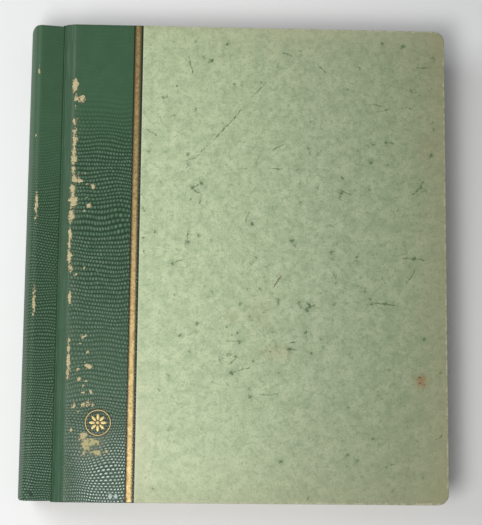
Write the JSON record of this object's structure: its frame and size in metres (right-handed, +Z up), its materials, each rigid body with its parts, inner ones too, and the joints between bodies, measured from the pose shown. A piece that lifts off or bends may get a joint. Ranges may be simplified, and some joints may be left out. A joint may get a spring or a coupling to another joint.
{
  "type": "stamp album",
  "caption": "Closed spring-back stamp album: quarter-bound hinged covers on a sprung tube spine that grips loose guarded leaves.",
  "frame": {"origin": "middle of the closed album's footprint, on the surface that the back cover lies on", "axes": "+X from the spine to the fore-edge, +Y towards the head, +Z up through the front cover"},
  "size_m": [0.258, 0.292, 0.036],
  "materials": {
    "spring_steel": "blued satin",
    "lever_steel": "satin",
    "card": "matt",
    "board": "matt",
    "guard_card": "matt",
    "leathercloth": "lizard grained",
    "inner_cloth": "matt",
    "linen": "matt",
    "marbled_paper": "veined, waxed",
    "pastedown_paper": "matt",
    "leaf_paper": "matt",
    "gilt": "worn gilt"
  },
  "bodies": {
    "spine": {"spine_spring": "spring_steel", "spine_card": "card", "spine_cloth": "leathercloth", "front_lever": "lever_steel", "back_lever": "lever_steel", "leaf_guards": "guard_card", "front_leaf_linens": "linen", "back_leaf_linens": "linen", "front_joint_cloth": "leathercloth", "back_joint_cloth": "leathercloth", "front_inner_joint": "inner_cloth", "back_inner_joint": "inner_cloth"},
    "front_cover": {"front_board": "board", "front_quarter_cloth": "leathercloth", "front_paper": "marbled_paper", "front_pastedown": "pastedown_paper", "front_gilt_rule": "gilt", "front_emblem": "gilt"},
    "back_cover": {"back_board": "board", "back_quarter_cloth": "leathercloth", "back_paper": "marbled_paper", "back_pastedown": "pastedown_paper", "back_gilt_rule": "gilt"},
    "leaf_01": {"leaf_01": "leaf_paper"},
    "leaf_02": {"leaf_02": "leaf_paper"},
    "leaf_03": {"leaf_03": "leaf_paper"},
    "leaf_04": {"leaf_04": "leaf_paper"},
    "leaf_05": {"leaf_05": "leaf_paper"},
    "leaf_06": {"leaf_06": "leaf_paper"},
    "leaf_07": {"leaf_07": "leaf_paper"},
    "leaf_08": {"leaf_08": "leaf_paper"},
    "leaf_09": {"leaf_09": "leaf_paper"},
    "leaf_10": {"leaf_10": "leaf_paper"},
    "leaf_11": {"leaf_11": "leaf_paper"},
    "leaf_12": {"leaf_12": "leaf_paper"},
    "leaf_13": {"leaf_13": "leaf_paper"},
    "leaf_14": {"leaf_14": "leaf_paper"},
    "leaf_15": {"leaf_15": "leaf_paper"},
    "leaf_16": {"leaf_16": "leaf_paper"},
    "leaf_17": {"leaf_17": "leaf_paper"},
    "leaf_18": {"leaf_18": "leaf_paper"},
    "leaf_19": {"leaf_19": "leaf_paper"},
    "leaf_20": {"leaf_20": "leaf_paper"},
    "leaf_21": {"leaf_21": "leaf_paper"},
    "leaf_22": {"leaf_22": "leaf_paper"},
    "leaf_23": {"leaf_23": "leaf_paper"},
    "leaf_24": {"leaf_24": "leaf_paper"}
  },
  "joints": [
    {"name": "front_cover_hinge", "type": "hinge", "parent": "spine", "child": "front_cover", "pos_m": [-0.1045, 0, 0.0348], "axis": [0, -1, 0], "range_deg": [0, 170], "deforming": ["front_joint_cloth", "front_inner_joint", "front_leaf_linens"]},
    {"name": "back_cover_hinge", "type": "hinge", "parent": "spine", "child": "back_cover", "pos_m": [-0.1045, 0, 0.0012], "axis": [0, 1, 0], "range_deg": [0, 170], "deforming": ["back_joint_cloth", "back_inner_joint", "back_leaf_linens"]},
    {"name": "leaf_01_turn", "type": "hinge", "parent": "spine", "child": "leaf_01", "pos_m": [-0.1015, 0, 0.02961], "axis": [0, -1, 0], "range_deg": [0, 84]},
    {"name": "leaf_02_turn", "type": "hinge", "parent": "spine", "child": "leaf_02", "pos_m": [-0.1015, 0, 0.0286], "axis": [0, -1, 0], "range_deg": [0, 77]},
    {"name": "leaf_03_turn", "type": "hinge", "parent": "spine", "child": "leaf_03", "pos_m": [-0.1015, 0, 0.02759], "axis": [0, -1, 0], "range_deg": [0, 70]},
    {"name": "leaf_04_turn", "type": "hinge", "parent": "spine", "child": "leaf_04", "pos_m": [-0.1015, 0, 0.02658], "axis": [0, -1, 0], "range_deg": [0, 63]},
    {"name": "leaf_05_turn", "type": "hinge", "parent": "spine", "child": "leaf_05", "pos_m": [-0.1015, 0, 0.02557], "axis": [0, -1, 0], "range_deg": [0, 56]},
    {"name": "leaf_06_turn", "type": "hinge", "parent": "spine", "child": "leaf_06", "pos_m": [-0.1015, 0, 0.02456], "axis": [0, -1, 0], "range_deg": [0, 49]},
    {"name": "leaf_07_turn", "type": "hinge", "parent": "spine", "child": "leaf_07", "pos_m": [-0.1015, 0, 0.02355], "axis": [0, -1, 0], "range_deg": [0, 42]},
    {"name": "leaf_08_turn", "type": "hinge", "parent": "spine", "child": "leaf_08", "pos_m": [-0.1015, 0, 0.02254], "axis": [0, -1, 0], "range_deg": [0, 35]},
    {"name": "leaf_09_turn", "type": "hinge", "parent": "spine", "child": "leaf_09", "pos_m": [-0.1015, 0, 0.02153], "axis": [0, -1, 0], "range_deg": [0, 28]},
    {"name": "leaf_10_turn", "type": "hinge", "parent": "spine", "child": "leaf_10", "pos_m": [-0.1015, 0, 0.02052], "axis": [0, -1, 0], "range_deg": [0, 21]},
    {"name": "leaf_11_turn", "type": "hinge", "parent": "spine", "child": "leaf_11", "pos_m": [-0.1015, 0, 0.01951], "axis": [0, -1, 0], "range_deg": [0, 14]},
    {"name": "leaf_12_turn", "type": "hinge", "parent": "spine", "child": "leaf_12", "pos_m": [-0.1015, 0, 0.0185], "axis": [0, -1, 0], "range_deg": [0, 7]},
    {"name": "leaf_13_turn", "type": "hinge", "parent": "spine", "child": "leaf_13", "pos_m": [-0.1015, 0, 0.0175], "axis": [0, 1, 0], "range_deg": [0, 7]},
    {"name": "leaf_14_turn", "type": "hinge", "parent": "spine", "child": "leaf_14", "pos_m": [-0.1015, 0, 0.01649], "axis": [0, 1, 0], "range_deg": [0, 14]},
    {"name": "leaf_15_turn", "type": "hinge", "parent": "spine", "child": "leaf_15", "pos_m": [-0.1015, 0, 0.01548], "axis": [0, 1, 0], "range_deg": [0, 21]},
    {"name": "leaf_16_turn", "type": "hinge", "parent": "spine", "child": "leaf_16", "pos_m": [-0.1015, 0, 0.01447], "axis": [0, 1, 0], "range_deg": [0, 28]},
    {"name": "leaf_17_turn", "type": "hinge", "parent": "spine", "child": "leaf_17", "pos_m": [-0.1015, 0, 0.01346], "axis": [0, 1, 0], "range_deg": [0, 35]},
    {"name": "leaf_18_turn", "type": "hinge", "parent": "spine", "child": "leaf_18", "pos_m": [-0.1015, 0, 0.01245], "axis": [0, 1, 0], "range_deg": [0, 42]},
    {"name": "leaf_19_turn", "type": "hinge", "parent": "spine", "child": "leaf_19", "pos_m": [-0.1015, 0, 0.01144], "axis": [0, 1, 0], "range_deg": [0, 49]},
    {"name": "leaf_20_turn", "type": "hinge", "parent": "spine", "child": "leaf_20", "pos_m": [-0.1015, 0, 0.01043], "axis": [0, 1, 0], "range_deg": [0, 56]},
    {"name": "leaf_21_turn", "type": "hinge", "parent": "spine", "child": "leaf_21", "pos_m": [-0.1015, 0, 0.00942], "axis": [0, 1, 0], "range_deg": [0, 63]},
    {"name": "leaf_22_turn", "type": "hinge", "parent": "spine", "child": "leaf_22", "pos_m": [-0.1015, 0, 0.00841], "axis": [0, 1, 0], "range_deg": [0, 70]},
    {"name": "leaf_23_turn", "type": "hinge", "parent": "spine", "child": "leaf_23", "pos_m": [-0.1015, 0, 0.0074], "axis": [0, 1, 0], "range_deg": [0, 77]},
    {"name": "leaf_24_turn", "type": "hinge", "parent": "spine", "child": "leaf_24", "pos_m": [-0.1015, 0, 0.00639], "axis": [0, 1, 0], "range_deg": [0, 84]}
  ],
  "couplings": [
    {"joint": "leaf_01_turn", "follows": "front_cover_hinge", "ratio": 0.49412},
    {"joint": "leaf_02_turn", "follows": "front_cover_hinge", "ratio": 0.45294},
    {"joint": "leaf_03_turn", "follows": "front_cover_hinge", "ratio": 0.41176},
    {"joint": "leaf_04_turn", "follows": "front_cover_hinge", "ratio": 0.37059},
    {"joint": "leaf_05_turn", "follows": "front_cover_hinge", "ratio": 0.32941},
    {"joint": "leaf_06_turn", "follows": "front_cover_hinge", "ratio": 0.28824},
    {"joint": "leaf_07_turn", "follows": "front_cover_hinge", "ratio": 0.24706},
    {"joint": "leaf_08_turn", "follows": "front_cover_hinge", "ratio": 0.20588},
    {"joint": "leaf_09_turn", "follows": "front_cover_hinge", "ratio": 0.1647},
    {"joint": "leaf_10_turn", "follows": "front_cover_hinge", "ratio": 0.12353},
    {"joint": "leaf_11_turn", "follows": "front_cover_hinge", "ratio": 0.082352},
    {"joint": "leaf_12_turn", "follows": "front_cover_hinge", "ratio": 0.041176},
    {"joint": "leaf_13_turn", "follows": "back_cover_hinge", "ratio": 0.041176},
    {"joint": "leaf_14_turn", "follows": "back_cover_hinge", "ratio": 0.082352},
    {"joint": "leaf_15_turn", "follows": "back_cover_hinge", "ratio": 0.12353},
    {"joint": "leaf_16_turn", "follows": "back_cover_hinge", "ratio": 0.1647},
    {"joint": "leaf_17_turn", "follows": "back_cover_hinge", "ratio": 0.20588},
    {"joint": "leaf_18_turn", "follows": "back_cover_hinge", "ratio": 0.24706},
    {"joint": "leaf_19_turn", "follows": "back_cover_hinge", "ratio": 0.28824},
    {"joint": "leaf_20_turn", "follows": "back_cover_hinge", "ratio": 0.32941},
    {"joint": "leaf_21_turn", "follows": "back_cover_hinge", "ratio": 0.37059},
    {"joint": "leaf_22_turn", "follows": "back_cover_hinge", "ratio": 0.41176},
    {"joint": "leaf_23_turn", "follows": "back_cover_hinge", "ratio": 0.45294},
    {"joint": "leaf_24_turn", "follows": "back_cover_hinge", "ratio": 0.49412}
  ]
}
